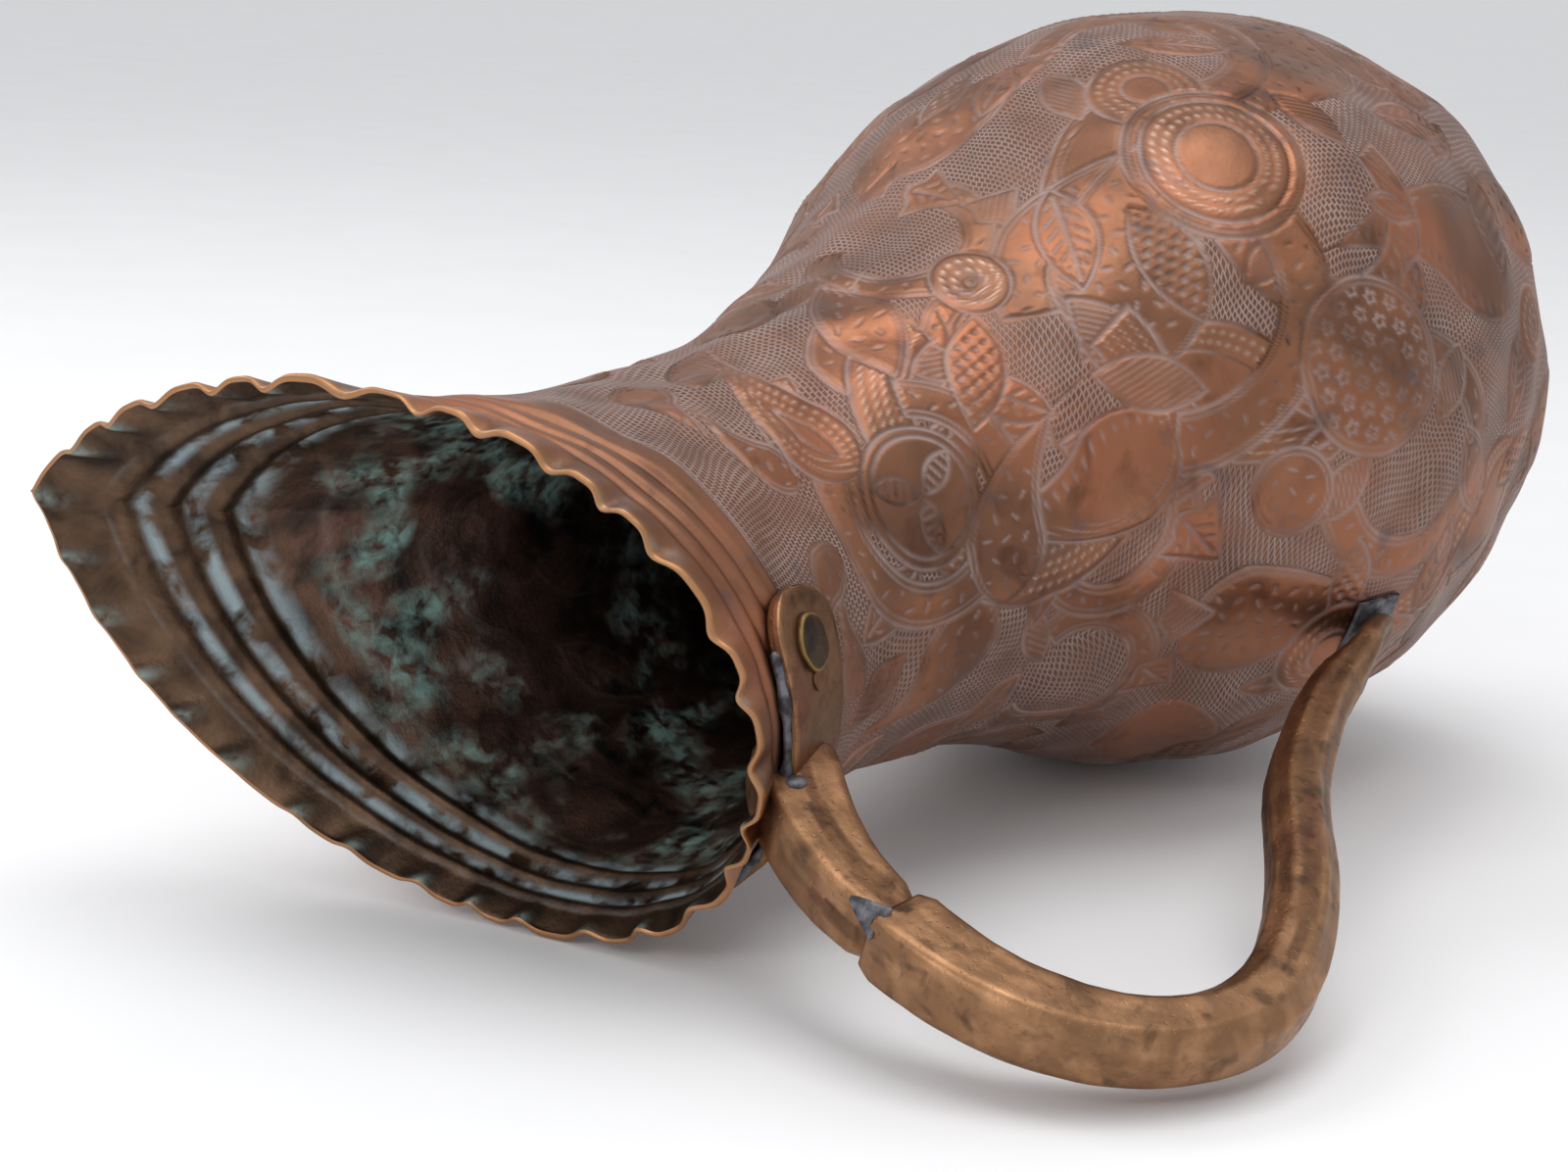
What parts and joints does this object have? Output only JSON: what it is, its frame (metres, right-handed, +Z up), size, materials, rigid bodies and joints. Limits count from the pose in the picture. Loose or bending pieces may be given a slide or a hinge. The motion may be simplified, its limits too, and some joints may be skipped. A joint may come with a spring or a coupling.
{
  "type": "copper water jug",
  "caption": "Pear-shaped raised copper jug with a long beak spout, crimped mouth, chased body and a riveted cast bar handle.",
  "frame": {"origin": "centre of the underside of the base disc, on the vessel's axis", "axes": "+Z up along the vessel's axis, +X towards the spout, the handle towards -X"},
  "size_m": [0.2322, 0.166, 0.301],
  "materials": {
    "chased_copper": "aged brown copper, chased and punched, pale residue in the lines",
    "base_copper": "worn, planished copper",
    "braze": "dull brazing brass",
    "handle_bronze": "brown forged copper alloy with worn bright edges",
    "dark_rivet": "blackened, worn rim",
    "grey_solder": "oxidised tin solder"
  },
  "bodies": {
    "root": {"vessel_wall": "chased_copper", "base_disc": "base_copper", "base_seam_braze": "braze", "handle_saddle": "handle_bronze", "handle_bar": "handle_bronze", "bar_braze": "braze", "saddle_rivet_near": "dark_rivet", "saddle_rivet_far": "dark_rivet", "saddle_plug": "handle_bronze", "saddle_solder": "grey_solder", "foot_solder": "grey_solder"}
  },
  "joints": []
}
